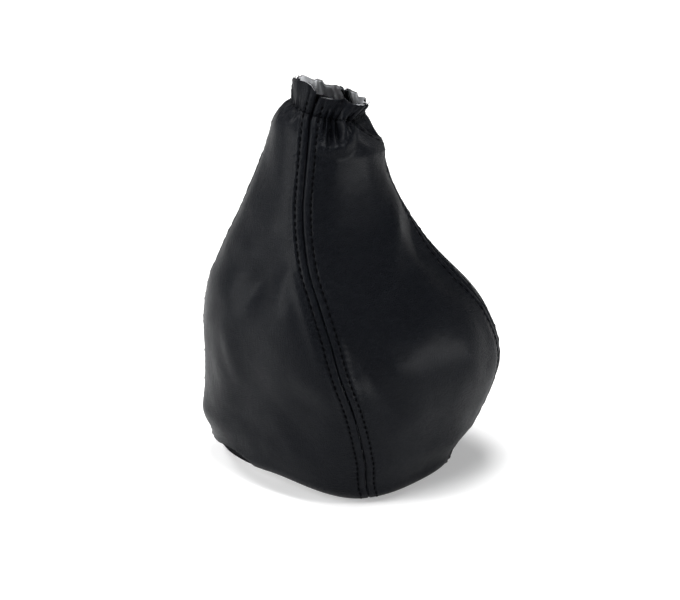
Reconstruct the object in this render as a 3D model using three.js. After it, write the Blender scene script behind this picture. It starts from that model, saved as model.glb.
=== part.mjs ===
// A gear lever gaiter. Four panels of coated leather are sewn together along four seams, gathered by an
// elastic round the neck, with a short frill above it and a hem turned inwards at the foot.
// Sizes are millimetres, +Z is up and the front faces -Y. The origin is on the surface that the gaiter
// stands on, under the middle of its outline.

import * as THREE from "three";
import { mergeVertices } from "three/addons/utils/BufferGeometryUtils.js";

// Threads
const TOPSTITCH_THREAD = 0.7;
const BOBBIN_THREAD = 0.5;
const CLOSING_THREAD = 0.4;
const NECK_THREAD = 0.7;
const THREAD_CLEARANCE = 0.25;
const CLOSING_CLEARANCE = 0.15;

// The leather and its seams. Each panel's edge is turned back inside and held by a topstitched row.
const LEATHER = 0.9;
const SEAM_CLEARANCE = 0.15;
const STITCH_OFFSET = 5;
const BEYOND_STITCH = 2;
const SEAM_ALLOWANCE = STITCH_OFFSET + BEYOND_STITCH;
const TURN_GAP = CLOSING_THREAD + 2 * CLOSING_CLEARANCE;
const TURN_RADIUS = LEATHER + TURN_GAP / 2;
const SEAM_EDGE = SEAM_CLEARANCE + TURN_RADIUS;

// The neck, its elastic and the frill above it
const NECK_HEIGHT = 225.5;
const NECK_HALF_WIDTH = 22;
const NECK_HALF_DEPTH = 21;
const NECK_TILT = 0.19;
const TILT_START = 130;
const SHOULDER_HEIGHT = 20;
const SHOULDER_ROUNDNESS = 2.15;
const LEFT_SHOULDER_FULLER = 0.85;
const PLEAT_DEPTH = 2.2;
const PLEAT_LENGTH = 24;
const PLEAT_OPENING = 0.7;
const ELASTIC_WIDTH = 6;
const ELASTIC_THICKNESS = 1;
const ELASTIC_CLEARANCE = 0.3;
const FRILL_WIDTH = 14;

// The foot. Its edge is lifted off the ground in a low arch along the left panel.
const HEM_WIDTH = 10;
const HEM_FOLD_RADIUS = 8;
const THREAD_LIFT = 1.5;
const ARCH_RISE = 11;
const ARCH_FADE_HEIGHT = 60;
const ARCH_START = 250;
const ARCH_FULL = 278;
const ARCH_LOWERING = 325;
const ARCH_END = 378;

// The body's form. Each pair is a share of the neck's height and how far the form lies inside the widest
// half size there, and the last pairs lie outside the gathered neck by the shoulder's overhang.
const WIDEST_HALF_WIDTH = 90;
const WIDEST_HALF_DEPTH = 85;
const SHOULDER_BESIDE_NECK = 7;
const SHOULDER_BEFORE_NECK = 8;
const INSET_FROM_WIDTH = [
  [0, 16], [0.05, 15.2], [0.13, 7], [0.3, 0], [0.4, 1.5], [0.5, 9.5], [0.6, 24.5], [0.7, 38.2], [0.85, 53],
];
const INSET_FROM_DEPTH = [
  [0, 13], [0.12, 7], [0.34, 0], [0.46, 5], [0.57, 16], [0.7, 33], [0.91, 51],
];
const drawnFrom = (widest, drawnIn, top) => [...drawnIn.map(([up, inwards]) => [up, widest - inwards]), [1, top]];
const BODY_HALF_WIDTH = drawnFrom(WIDEST_HALF_WIDTH, INSET_FROM_WIDTH, NECK_HALF_WIDTH + SHOULDER_BESIDE_NECK);
const BODY_HALF_DEPTH = drawnFrom(WIDEST_HALF_DEPTH, INSET_FROM_DEPTH, NECK_HALF_DEPTH + SHOULDER_BEFORE_NECK);
const BODY_TO_RIGHT = [
  [0, 2], [0.05, 3.2], [0.13, 7.5], [0.3, 14.2], [0.45, 10], [0.55, 4], [0.65, -1], [0.85, -1.8], [1, 0],
];

// The seams. A bearing is in degrees anticlockwise from above, and 0 points at the front left corner. The
// frill leans outwards from the neck by frillLean degrees, and its top edge has the bearing frillTop.
const RIGHT_SEAM_FRILL_ANGLE = 58;
const REAR_RIGHT_SEAM_ANGLE = 138;
const REAR_LEFT_SEAM_ANGLE = 248;
const SEAMS = [
  {
    name: "front_left",
    bearing: [[0, 19], [0.1, 12], [0.34, -2], [0.57, -7], [0.78, -17], [0.94, -20], [1, -26]],
    frillTop: -15,
    frillLean: -4,
  },
  {
    name: "front_right",
    bearing: [[0, 80], [0.34, 82], [0.57, 85], [0.8, 97], [0.92, 92], [0.97, 62], [1, 43]],
    frillTop: RIGHT_SEAM_FRILL_ANGLE,
    frillLean: 30,
  },
  {
    name: "rear_right",
    bearing: [[0, 186], [0.5, 178], [0.8, 164], [1, REAR_RIGHT_SEAM_ANGLE]],
    frillTop: REAR_RIGHT_SEAM_ANGLE,
    frillLean: -32,
  },
  {
    name: "rear_left",
    bearing: [[0, 262], [0.5, 259], [0.8, 255], [1, REAR_LEFT_SEAM_ANGLE]],
    frillTop: REAR_LEFT_SEAM_ANGLE,
    frillLean: -6,
  },
];

// The panels, each from its seam of the same place in the list to the next seam round. flatness is how far
// the middle of a panel lies inside the round outline, as a share of it, at shares of the neck's height.
const PANELS = [
  { name: "front_panel", pleats: 3, frillWaves: 1, flatness: [[0, 0.02], [0.2, 0.04], [0.8, 0.04], [1, 0]] },
  { name: "right_panel", pleats: 5, frillWaves: 2, flatness: [[0, 0.08], [0.5, 0.08], [0.8, 0.04], [1, 0]] },
  { name: "rear_panel", pleats: 5, frillWaves: 2, flatness: [[0, 0.08], [0.5, 0.08], [0.8, 0.04], [1, 0]] },
  { name: "left_panel", pleats: 3, frillWaves: 1, flatness: [[0, 0.04], [0.2, 0.06], [0.8, 0.04], [1, 0]] },
];
const FRILL_WAVE_DEPTH = 4.5;

// Soft swells and hollows of the hanging leather: the bearing of the middle, its share of the neck's height,
// the spread each way, and how far the leather moves outwards.
const SWELLS = [
  { bearing: 54, up: 0.68, across: 13, along: 0.12, outward: 3 },
  { bearing: 74, up: 0.58, across: 12, along: 0.1, outward: -3 },
  { bearing: 22, up: 0.6, across: 20, along: 0.2, outward: -4 },
  { bearing: -46, up: 0.58, across: 16, along: 0.1, outward: -3 },
  { bearing: -66, up: 0.36, across: 10, along: 0.14, outward: 2.5 },
  { bearing: 132, up: 0.58, across: 24, along: 0.2, outward: -5 },
  { bearing: 222, up: 0.6, across: 24, along: 0.2, outward: -4 },
  { bearing: 200, up: 0.3, across: 16, along: 0.16, outward: 3 },
];

// How finely the sheet is divided
const BODY_LEVELS = [0.075, 0.15, 0.24, 0.33, 0.42, 0.51, 0.6, 0.69, 0.78, 0.86, 0.915];
const NECK_LEVELS = [0.945, 0.968];
const FRILL_LEVELS = [0.45, 0.72, 1];
const HEM_FOLD_STEPS = 3;
const TURN_STEPS = 2;
const BODY_COLUMNS = 7;
const COLUMNS_PER_PLEAT = 4;
const ELASTIC_COLUMNS = 48;

const HEM_ARC = (HEM_FOLD_RADIUS * Math.PI) / 2;
const NECK_RUN = HEM_WIDTH + HEM_ARC + NECK_HEIGHT - HEM_FOLD_RADIUS;
const DEGREE = Math.PI / 180;
const SMALL = 1e-3;

const clamped = (t) => Math.min(Math.max(t, 0), 1);
const eased = (t) => clamped(t) ** 2 * (3 - 2 * clamped(t));
const mixed = THREE.MathUtils.lerp;
const turnedFrom = (bearing, start) => THREE.MathUtils.euclideanModulo(bearing - start, 360);

// The value at a place on the smooth curve through [place, value] points.
function along(points, at) {
  const last = points.length - 1;
  if (at <= points[0][0]) return points[0][1];
  if (at >= points[last][0]) return points[last][1];
  const i = points.findIndex(([place]) => place > at) - 1;
  const slope = (a, b) => (points[b][1] - points[a][1]) / (points[b][0] - points[a][0]);
  const [[start, low], [end, high]] = [points[i], points[i + 1]];
  const span = end - start;
  const slopeIn = slope(Math.max(i - 1, 0), i + 1) * span;
  const slopeOut = slope(i, Math.min(i + 2, last)) * span;
  const t = (at - start) / span;
  const rise = eased(t);
  return mixed(low, high, rise) + slopeIn * t * (1 - t) ** 2 - slopeOut * t * t * (1 - t);
}

// A run is the distance up a panel from the hem's raw edge. It gives the height there, and how far the
// leather lies inside the body's outline.
function levelAt(run) {
  if (run < HEM_WIDTH) return { height: 0, inset: HEM_WIDTH - run + HEM_FOLD_RADIUS };
  const turn = (run - HEM_WIDTH) / HEM_FOLD_RADIUS;
  if (turn < Math.PI / 2) {
    return { height: HEM_FOLD_RADIUS * (1 - Math.cos(turn)), inset: HEM_FOLD_RADIUS * (1 - Math.sin(turn)) };
  }
  return { height: Math.min(run - HEM_WIDTH - HEM_ARC + HEM_FOLD_RADIUS, NECK_HEIGHT), inset: 0 };
}

const runAtShare = (share) => HEM_WIDTH + HEM_ARC + share * NECK_HEIGHT - HEM_FOLD_RADIUS;
const frillShare = (run) => clamped((run - NECK_RUN) / FRILL_WIDTH);

function seamBearing(index, run) {
  const turns = Math.floor(index / SEAMS.length);
  const seam = SEAMS[index % SEAMS.length];
  const atNeck = along(seam.bearing, levelAt(run).height / NECK_HEIGHT);
  return mixed(atNeck, seam.frillTop, frillShare(run)) + 360 * turns;
}

const bearingAt = (panel, share, run) => mixed(seamBearing(panel, run), seamBearing(panel + 1, run), share);

function archLift(bearing, height) {
  const turned = turnedFrom(bearing, ARCH_START);
  const rising = eased(turned / (ARCH_FULL - ARCH_START));
  const lowering = eased((ARCH_END - ARCH_START - turned) / (ARCH_END - ARCH_LOWERING));
  return ARCH_RISE * rising * lowering * (1 - eased(height / ARCH_FADE_HEIGHT));
}

// The smooth form under the pleats and swells. share goes from 0 to 1 across a panel, from seam to seam.
function smoothForm(panel, share, run) {
  const { height, inset } = levelAt(run);
  const up = height / NECK_HEIGHT;
  const bearing = bearingAt(panel, share, run);
  const toRight = Math.sin(bearing * DEGREE);
  const toFront = Math.cos(bearing * DEGREE);

  const shoulder = clamped(1 - (NECK_HEIGHT - height) / SHOULDER_HEIGHT);
  const gathered = shoulder ** (SHOULDER_ROUNDNESS - LEFT_SHOULDER_FULLER * toRight);
  const flat = 1 - along(PANELS[panel].flatness, up) * (1 - Math.cos(2 * Math.PI * share));
  const nextSeam = SEAMS[(panel + 1) % SEAMS.length];
  const lean = mixed(SEAMS[panel].frillLean, nextSeam.frillLean, eased(share)) * DEGREE;
  const frill = Math.max(run - NECK_RUN, 0);
  const reach = (body, neck) => mixed((body - inset) * flat, neck, gathered) + frill * Math.sin(lean);

  const right = along(BODY_TO_RIGHT, up) + reach(along(BODY_HALF_WIDTH, up), NECK_HALF_WIDTH) * toRight;
  const back = -reach(along(BODY_HALF_DEPTH, up), NECK_HALF_DEPTH) * toFront;
  const tilt = NECK_TILT * right * eased((height - TILT_START) / (NECK_HEIGHT - TILT_START));
  const level = height + archLift(bearing, height) + frill * Math.cos(lean) - tilt;
  return new THREE.Vector3((right + back) * Math.SQRT1_2, (back - right) * Math.SQRT1_2, level);
}

function directions(panel, share, run) {
  const slope = (ds, dr) =>
    smoothForm(panel, share + ds, run + dr)
      .sub(smoothForm(panel, share - ds, run - dr))
      .divideScalar(2 * SMALL);
  const across = slope(SMALL, 0);
  const upward = slope(0, SMALL);
  return { across, outward: across.clone().cross(upward).normalize() };
}

// The share of a panel's width that lies so many millimetres in from one of its seams.
function shareFrom(side, panel, run, distance) {
  const share = distance / directions(panel, side, run).across.length();
  return side ? 1 - share : share;
}

// How far the leather lies outside the smooth form.
function swell(panel, share, run) {
  const { height } = levelAt(run);
  const bearing = bearingAt(panel, share, run);
  const free = eased(height / (2 * HEM_FOLD_RADIUS));
  let total = 0;
  for (const form of SWELLS) {
    const across = (turnedFrom(bearing, form.bearing - 180) - 180) / form.across;
    const upward = (height / NECK_HEIGHT - form.up) / form.along;
    total += free * form.outward * Math.exp(-(across ** 2) - upward ** 2);
  }
  const { pleats, frillWaves } = PANELS[panel];
  const start = shareFrom(0, panel, run, SEAM_ALLOWANCE);
  const end = shareFrom(1, panel, run, SEAM_ALLOWANCE);
  const between = clamped((share - start) / (end - start));
  const valleys = (count) => (1 - Math.cos(2 * Math.PI * count * between)) / 2;
  const frill = eased((run - NECK_RUN - ELASTIC_WIDTH / 2) / (FRILL_WIDTH - ELASTIC_WIDTH / 2));
  const pleated = eased((run - NECK_RUN + PLEAT_LENGTH) / PLEAT_LENGTH) * (1 - PLEAT_OPENING * frill);
  return total - PLEAT_DEPTH * pleated * valleys(pleats) - FRILL_WAVE_DEPTH * frill * valleys(frillWaves);
}

// A point so many millimetres under the leather's outer face.
function pointAt(panel, share, run, depth) {
  const { outward } = directions(panel, share, run);
  return smoothForm(panel, share, run).addScaledVector(outward, swell(panel, share, run) - depth);
}

// The columns of one row of a panel: the turned allowance at each seam and the leather between the two
// allowances. Each has an outer face point, a backing point and its order across the panel.
function rowOf(panel, run, middleColumns) {
  const turned = (side) => {
    const at = (distance, depth) => pointAt(panel, shareFrom(side, panel, run, distance), run, depth);
    const rawOuter = at(SEAM_ALLOWANCE, 2 * TURN_RADIUS);
    const rawInner = at(SEAM_ALLOWANCE, 2 * TURN_RADIUS - LEATHER);
    const columns = [{ outer: rawOuter, inner: rawInner, order: -3 }];
    for (let step = 0; step <= TURN_STEPS; step++) {
      const angle = Math.PI * (1 - step / TURN_STEPS);
      const [sine, cosine] = [Math.sin(angle), Math.cos(angle)];
      const outer = at(SEAM_EDGE - TURN_RADIUS * sine, TURN_RADIUS * (1 - cosine));
      const inner = at(SEAM_EDGE - (TURN_GAP / 2) * sine, TURN_RADIUS - (TURN_GAP / 2) * cosine);
      columns.push({ outer, inner, order: step / TURN_STEPS - 2 });
    }
    return columns;
  };
  const start = shareFrom(0, panel, run, SEAM_ALLOWANCE);
  const end = shareFrom(1, panel, run, SEAM_ALLOWANCE);
  const middle = [];
  for (let i = 0; i <= middleColumns; i++) {
    const order = i / middleColumns;
    const share = mixed(start, end, order);
    middle.push({ outer: pointAt(panel, share, run, 0), inner: pointAt(panel, share, run, LEATHER), order });
  }
  const last = turned(1).map((column) => ({ ...column, order: 1 - column.order }));
  return [...turned(0), ...middle, ...last.reverse()];
}

// A closed sheet over rows of columns, from the hem up.
function sheetGeometry(rows) {
  const points = rows.flat();
  const firsts = rows.map((_, i) => rows.slice(0, i).reduce((sum, row) => sum + row.length, 0));
  const inward = points.length;
  const index = [];
  const faces = (a, b, c) => index.push(a, b, c, a + inward, c + inward, b + inward);
  const edge = (a, b) => index.push(a, a + inward, b, b, a + inward, b + inward);
  for (let r = 0; r + 1 < rows.length; r++) {
    const [low, high] = [rows[r], rows[r + 1]];
    const [a, b] = [firsts[r], firsts[r + 1]];
    let [i, j] = [0, 0];
    while (i + 1 < low.length || j + 1 < high.length) {
      const takeLow = j + 1 === high.length || (i + 1 < low.length && low[i + 1].order <= high[j + 1].order);
      if (takeLow) faces(a + i, a + i + 1, b + j);
      else faces(a + i, b + j + 1, b + j);
      if (takeLow) i++;
      else j++;
    }
    edge(b, a);
    edge(a + low.length - 1, b + high.length - 1);
  }
  for (let i = 0; i + 1 < rows[0].length; i++) edge(i, i + 1);
  const top = firsts[rows.length - 1];
  for (let i = 0; i + 1 < rows[rows.length - 1].length; i++) edge(top + i + 1, top + i);
  return closedGeometry([...points.map((p) => p.outer), ...points.map((p) => p.inner)], index);
}

function closedGeometry(points, index) {
  const geometry = new THREE.BufferGeometry().setFromPoints(points).setIndex(index);
  const merged = mergeVertices(geometry, SMALL);
  merged.computeVertexNormals();
  return merged;
}

// A thread over stations, each with a centre and two directions square to the thread.
function threadGeometry(stations, thickness, sides, looped) {
  const points = stations.flatMap(({ centre, across, outward }) =>
    Array.from({ length: sides }, (_, i) => {
      const angle = ((i + 0.5) * 2 * Math.PI) / sides;
      const side = centre.clone().addScaledVector(across, (Math.sin(angle) * thickness) / 2);
      return side.addScaledVector(outward, (-Math.cos(angle) * thickness) / 2);
    }),
  );
  const index = [];
  const count = stations.length;
  for (let i = 0; i < (looped ? count : count - 1); i++) {
    const [here, next] = [i * sides, ((i + 1) % count) * sides];
    for (let k = 0; k < sides; k++) {
      const l = (k + 1) % sides;
      index.push(here + k, next + l, here + l, here + k, next + k, next + l);
    }
  }
  for (let k = 1; !looped && k + 1 < sides; k++) {
    const end = (count - 1) * sides;
    index.push(0, k, k + 1, end, end + k + 1, end + k);
  }
  return closedGeometry(points, index);
}

// The rows of the sheet, from the hem's raw edge to the frill's top edge
const foldSteps = Array.from({ length: HEM_FOLD_STEPS + 1 }, (_, i) => i / HEM_FOLD_STEPS);
const hemRuns = [0, ...foldSteps.map((part) => HEM_WIDTH + HEM_ARC * part)];
const bodyRuns = BODY_LEVELS.map(runAtShare);
const neckRuns = NECK_LEVELS.map(runAtShare);
const elasticRuns = [-1, 0, 1].map((side) => NECK_RUN + (side * ELASTIC_WIDTH) / 2);
const frillRuns = FRILL_LEVELS.map((share) => NECK_RUN + FRILL_WIDTH * share);
const runs = [...hemRuns, ...bodyRuns, ...neckRuns, ...elasticRuns, ...frillRuns];
const neckColumns = (panel) => Math.max(BODY_COLUMNS, PANELS[panel].pleats * COLUMNS_PER_PLEAT);

function panelGeometry(panel) {
  const columns = (run) => (run < neckRuns[0] ? BODY_COLUMNS : neckColumns(panel));
  return sheetGeometry(runs.map((run) => rowOf(panel, run, columns(run))));
}

// The way of a thread along one side of a seam. It keeps its distance from the seam and its depth under the
// leather's outer face, over the straight stretch between the turned edge and the allowance's raw edge.
function seamStations(panel, side, fromRun, distance, depth) {
  const part = (distance - SEAM_EDGE) / (SEAM_ALLOWANCE - SEAM_EDGE);
  return runs
    .filter((run) => run >= fromRun)
    .map((run) => {
      const at = (place) => pointAt(panel, shareFrom(side, panel, run, place), run, depth);
      const { across, outward } = directions(panel, shareFrom(side, panel, run, distance), run);
      return { centre: at(SEAM_EDGE).lerp(at(SEAM_ALLOWANCE), part), across: across.normalize(), outward };
    });
}

// The gathering stitch runs round the neck on the leather's outer face, and over the topstitched rows.
function neckStations() {
  const low = NECK_THREAD + THREAD_CLEARANCE;
  const over = low + TOPSTITCH_THREAD;
  const nearSeam = [{ distance: SEAM_EDGE, above: low }, { distance: STITCH_OFFSET, above: over }];
  return PANELS.flatMap((_, panel) => {
    const beside = (side) =>
      nearSeam.map(({ distance, above }) => ({ share: shareFrom(side, panel, NECK_RUN, distance), above }));
    const start = shareFrom(0, panel, NECK_RUN, SEAM_ALLOWANCE);
    const end = shareFrom(1, panel, NECK_RUN, SEAM_ALLOWANCE);
    const count = neckColumns(panel);
    const parts = Array.from({ length: count + 1 }, (_, i) => i / count);
    const pleated = parts.map((part) => ({ share: mixed(start, end, part), above: low }));
    return [...beside(0), ...pleated, ...beside(1).reverse()].map(({ share, above }) => ({
      centre: pointAt(panel, share, NECK_RUN, -above),
      across: new THREE.Vector3(0, 0, -1),
      outward: directions(panel, share, NECK_RUN).outward,
    }));
  });
}

// The elastic is a flat band under the pleats and the turned seams, bent along the neck like the leather.
function elasticGeometry() {
  const seamDepth = 2 * TURN_RADIUS + THREAD_CLEARANCE + BOBBIN_THREAD;
  const near = Math.max(PLEAT_DEPTH + LEATHER, seamDepth) + ELASTIC_CLEARANCE;
  const far = near + ELASTIC_THICKNESS;
  const corners = [[-1, near], [0, near], [1, near], [1, far], [0, far], [-1, far]];
  const points = [];
  for (let i = 0; i < ELASTIC_COLUMNS; i++) {
    const place = (i / ELASTIC_COLUMNS) * PANELS.length;
    const panel = Math.floor(place);
    for (const [side, depth] of corners) {
      const run = NECK_RUN + (side * ELASTIC_WIDTH) / 2;
      const { outward } = directions(panel, place - panel, run);
      points.push(smoothForm(panel, place - panel, run).addScaledVector(outward, -depth));
    }
  }
  const index = [];
  const sides = corners.length;
  for (let i = 0; i < ELASTIC_COLUMNS; i++) {
    const [here, next] = [i * sides, ((i + 1) % ELASTIC_COLUMNS) * sides];
    for (let k = 0; k < sides; k++) {
      const l = (k + 1) % sides;
      index.push(here + k, next + k, next + l, here + k, next + l, here + l);
    }
  }
  return closedGeometry(points, index);
}

const leather = new THREE.MeshStandardMaterial({ color: 0x1c1e22, roughness: 0.5, metalness: 0 });
const thread = new THREE.MeshStandardMaterial({ color: 0x0b0b0d, roughness: 0.8, metalness: 0 });
const elastic = new THREE.MeshStandardMaterial({ color: 0x18181a, roughness: 0.9, metalness: 0 });

const gaiter = new THREE.Group();
function add(name, geometry, material) {
  const mesh = new THREE.Mesh(geometry, material);
  mesh.name = name;
  gaiter.add(mesh);
}

PANELS.forEach(({ name }, panel) => add(name, panelGeometry(panel), leather));

const onTop = -(TOPSTITCH_THREAD / 2 + THREAD_CLEARANCE);
const underAllowance = 2 * TURN_RADIUS + THREAD_CLEARANCE + BOBBIN_THREAD / 2;
const liftedRun = HEM_WIDTH + HEM_FOLD_RADIUS * Math.acos(1 - THREAD_LIFT / HEM_FOLD_RADIUS);
SEAMS.forEach(({ name }, seam) => {
  const before = (seam + PANELS.length - 1) % PANELS.length;
  for (const [panel, side] of [[before, 1], [seam, 0]]) {
    const where = PANELS[panel].name.replace("_panel", "_side");
    const top = seamStations(panel, side, liftedRun, STITCH_OFFSET, onTop);
    const bobbin = seamStations(panel, side, 0, STITCH_OFFSET, underAllowance);
    const closing = seamStations(panel, side, 0, SEAM_EDGE + CLOSING_THREAD, TURN_RADIUS);
    add(`${name}_seam_topstitch_${where}`, threadGeometry(top, TOPSTITCH_THREAD, 4, false), thread);
    add(`${name}_seam_bobbin_${where}`, threadGeometry(bobbin, BOBBIN_THREAD, 3, false), thread);
    add(`${name}_seam_closing_thread_${where}`, threadGeometry(closing, CLOSING_THREAD, 3, false), thread);
  }
});

add("neck_elastic", elasticGeometry(), elastic);
add("neck_gathering_thread", threadGeometry(neckStations(), NECK_THREAD, 3, true), thread);

// The origin is under the middle of the outline.
const outline = new THREE.Box3().setFromObject(gaiter);
const middle = outline.getCenter(new THREE.Vector3());
gaiter.position.set(-middle.x, -middle.y, -outline.min.z);

export default gaiter;
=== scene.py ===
"""The looks of a gear lever gaiter in black grained leather.

Four panels with a light grey knitted backing meet in topstitched seams. An elastic gathers the neck, a short
frill stands above it, and the foot has a hem turned inwards. The forms below follow the part's own sizes, in
millimetres, and every piece is made in metres in the part's frame.
"""

import math

import bpy
import numpy as np
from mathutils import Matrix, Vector


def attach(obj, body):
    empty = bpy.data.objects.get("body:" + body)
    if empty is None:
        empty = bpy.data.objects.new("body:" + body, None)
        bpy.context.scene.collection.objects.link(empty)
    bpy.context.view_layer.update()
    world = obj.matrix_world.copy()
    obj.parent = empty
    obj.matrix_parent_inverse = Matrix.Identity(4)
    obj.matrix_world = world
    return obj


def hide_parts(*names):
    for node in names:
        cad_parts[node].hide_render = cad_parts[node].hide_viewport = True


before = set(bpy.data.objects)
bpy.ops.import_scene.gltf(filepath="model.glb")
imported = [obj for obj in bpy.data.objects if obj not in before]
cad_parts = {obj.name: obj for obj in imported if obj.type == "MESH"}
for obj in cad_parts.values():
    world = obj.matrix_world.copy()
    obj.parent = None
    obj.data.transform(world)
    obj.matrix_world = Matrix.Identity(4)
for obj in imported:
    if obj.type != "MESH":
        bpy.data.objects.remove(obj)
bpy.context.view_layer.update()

MM = 0.001
UV_PER_MM = 0.01
MM_PER_UV = 100.0
METRES_PER_UV = 0.1
BODY = "root"

# The camera stands where the photograph was taken from
VIEW_AZIMUTH = -45.0
VIEW_ELEVATION = 22.0
VIEW_DISTANCE = 2.0
VIEW_TARGET = (-0.0024, 0.0063, 0.1026)
VIEW_LENS = 175.0

# The leather, its seams and its threads
ORIGIN = (-7.5692, 11.4180, 0.0)
LEATHER = 0.9
SEAM_CLEARANCE = 0.005
STITCH_OFFSET = 5.0
SEAM_ALLOWANCE = 7.0
TURN_GAP = 0.7
TURN_RADIUS = LEATHER + TURN_GAP / 2
SEAM_EDGE = SEAM_CLEARANCE + TURN_RADIUS
STITCH_PITCH = 3.75
NECK_STITCH_PITCH = 3.1
TOPSTITCH_THREAD = 0.7
BOBBIN_THREAD = 0.5
CLOSING_THREAD = 0.4
NECK_THREAD = 0.62
THREAD_CLEARANCE = 0.25

# The neck, its elastic and the frill
NECK_HEIGHT = 225.5
NECK_HALF_WIDTH = 22.0
NECK_HALF_DEPTH = 21.0
NECK_TILT = 0.19
TILT_START = 130.0
SHOULDER_HEIGHT = 20.0
SHOULDER_ROUNDNESS = 2.15
LEFT_SHOULDER_FULLER = 0.85
PLEAT_OPENING = 0.7
ELASTIC_WIDTH = 6.0
ELASTIC_THICKNESS = 1.0
ELASTIC_CLEARANCE = 0.3
FRILL_WIDTH = 14.0

# The foot and its hem, lifted in a low arch along the left panel
HEM_WIDTH = 10.0
HEM_FOLD_RADIUS = 8.0
THREAD_LIFT = 1.5
ARCH_RISE = 11.0
ARCH_FADE_HEIGHT = 60.0
ARCH_START, ARCH_FULL, ARCH_LOWERING, ARCH_END = 250.0, 278.0, 325.0, 378.0

# The step back under the foot's left edge: its bearing, half width in degrees, depth and height, and
# how deep it is where the dull dark leather starts that is painted shade for the crescent there
STEP_BEARING = 296
STEP_HALF_WIDTH = 18
STEP_DEPTH = 2.2
STEP_LOW, STEP_RISE = 3.5, 5.5
STEP_PAINTED_SHADE = -1.0

# The body's form, as pairs of a share of the neck's height and the value there
BODY_HALF_WIDTH = [
    (0, 74), (0.05, 74.8), (0.13, 83), (0.3, 90), (0.4, 88.5),
    (0.5, 80.5), (0.6, 65.5), (0.7, 51.8), (0.85, 37), (1, 29),
]
BODY_HALF_DEPTH = [(0, 72), (0.12, 78), (0.34, 85), (0.46, 80), (0.57, 69), (0.7, 52), (0.91, 34), (1, 29)]
BODY_TO_RIGHT = [
    (0, 2), (0.05, 3.2), (0.13, 7.5), (0.3, 14.2), (0.45, 10), (0.55, 4), (0.65, -1), (0.85, -1.8), (1, 0),
]

# The seams: bearings in degrees anticlockwise from above, where 0 is the corner that faces the camera
SEAMS = [
    {
        "name": "front_left",
        "bearing": [(0, 19), (0.1, 12), (0.34, -2), (0.57, -7), (0.78, -17), (0.94, -20), (1, -26)],
        "frill_top": -15,
        "frill_lean": -4,
        "frill_opening": 1.3,
    },
    {
        "name": "front_right",
        "bearing": [(0, 80), (0.34, 82), (0.57, 85), (0.8, 97), (0.92, 92), (0.97, 62), (1, 43)],
        "frill_top": 58,
        "frill_lean": 30,
        "frill_opening": 0.6,
    },
    {
        "name": "rear_right",
        "bearing": [(0, 186), (0.5, 178), (0.8, 164), (1, 138)],
        "frill_top": 138,
        "frill_lean": -32,
        "frill_opening": 0.5,
    },
    {
        "name": "rear_left",
        "bearing": [(0, 262), (0.5, 259), (0.8, 255), (1, 248)],
        "frill_top": 248,
        "frill_lean": -6,
        "frill_opening": 0.4,
    },
]

# The panels, each from its seam to the next one round. The front one has its own pleats further down
PANELS = [
    {
        "name": "front",
        "pleats": 3,
        "waves": 1,
        "wave_depth": 4.2,
        "flatness": [(0, 0.02), (0.2, 0.04), (0.8, 0.04), (1, 0)],
    },
    {
        "name": "right",
        "pleats": 5,
        "pleat_depth": 2.2,
        "pleat_length": 24.0,
        "waves": 2,
        "wave_depth": 4.0,
        "flatness": [(0, 0.08), (0.5, 0.08), (0.8, 0.04), (1, 0)],
    },
    {
        "name": "rear",
        "pleats": 5,
        "pleat_depth": 2.2,
        "pleat_length": 24.0,
        "waves": 2,
        "wave_depth": 2.8,
        "flatness": [(0, 0.08), (0.5, 0.08), (0.8, 0.04), (1, 0)],
    },
    {
        "name": "left",
        "pleats": 3,
        "pleat_depth": 1.0,
        "pleat_length": 8.0,
        "waves": 1,
        "wave_depth": -1.2,
        "flatness": [(0, 0.04), (0.2, 0.06), (0.8, 0.04), (1, 0)],
    },
]

# How tall the frill stands round the neck: bearing, and the share of its full width
FRILL_HEIGHTS = [
    (-112, 0.78), (-95, 0.94), (-80, 1.12), (-68, 1.22), (-55, 1.22), (-40, 1.27), (-29, 1.21),
    (-20, 1.02), (-15, 0.9), (-8, 0.87), (10, 0.89), (22, 0.93), (30, 0.89), (58, 0.86), (70, 0.72),
    (100, 0.7), (138, 0.84), (165, 0.8), (200, 0.86), (230, 0.9), (248, 0.8),
]

# The front panel's own pleats under the elastic, and the ridges between them: place from seam to seam, half
# width, depth, and how far down each runs
FRONT_PLEATS = [
    (0.33, 0.7, 1.5, 10.0),
    (0.43, 1.8, 2.4, 20.0),
    (0.585, 1.2, 2.3, 15.0),
    (0.77, 1.3, 2.2, 8.0),
    (0.37, 0.9, -1.1, 16.0),
    (0.68, 1.6, -1.9, 18.0),
    (0.87, 1.6, -0.8, 14.0),
]

# Soft swells and hollows: bearing, share of the height, spread each way, and how far they stand out
SWELLS = [
    (54, 0.68, 13, 0.12, 1.8),
    (74, 0.58, 12, 0.10, -3.0),
    (22, 0.60, 20, 0.20, -1.6),
    (-46, 0.58, 16, 0.10, -3.0),
    (-66, 0.36, 10, 0.14, 2.5),
    (132, 0.58, 24, 0.20, -5.0),
    (222, 0.60, 24, 0.20, -4.0),
    (200, 0.30, 16, 0.16, 3.0),
    (-88, 0.10, 16, 0.06, 2.5),
    (98, 0.93, 16, 0.05, 2.0),
    (40, 0.50, 20, 0.10, 2.0),
]

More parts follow.
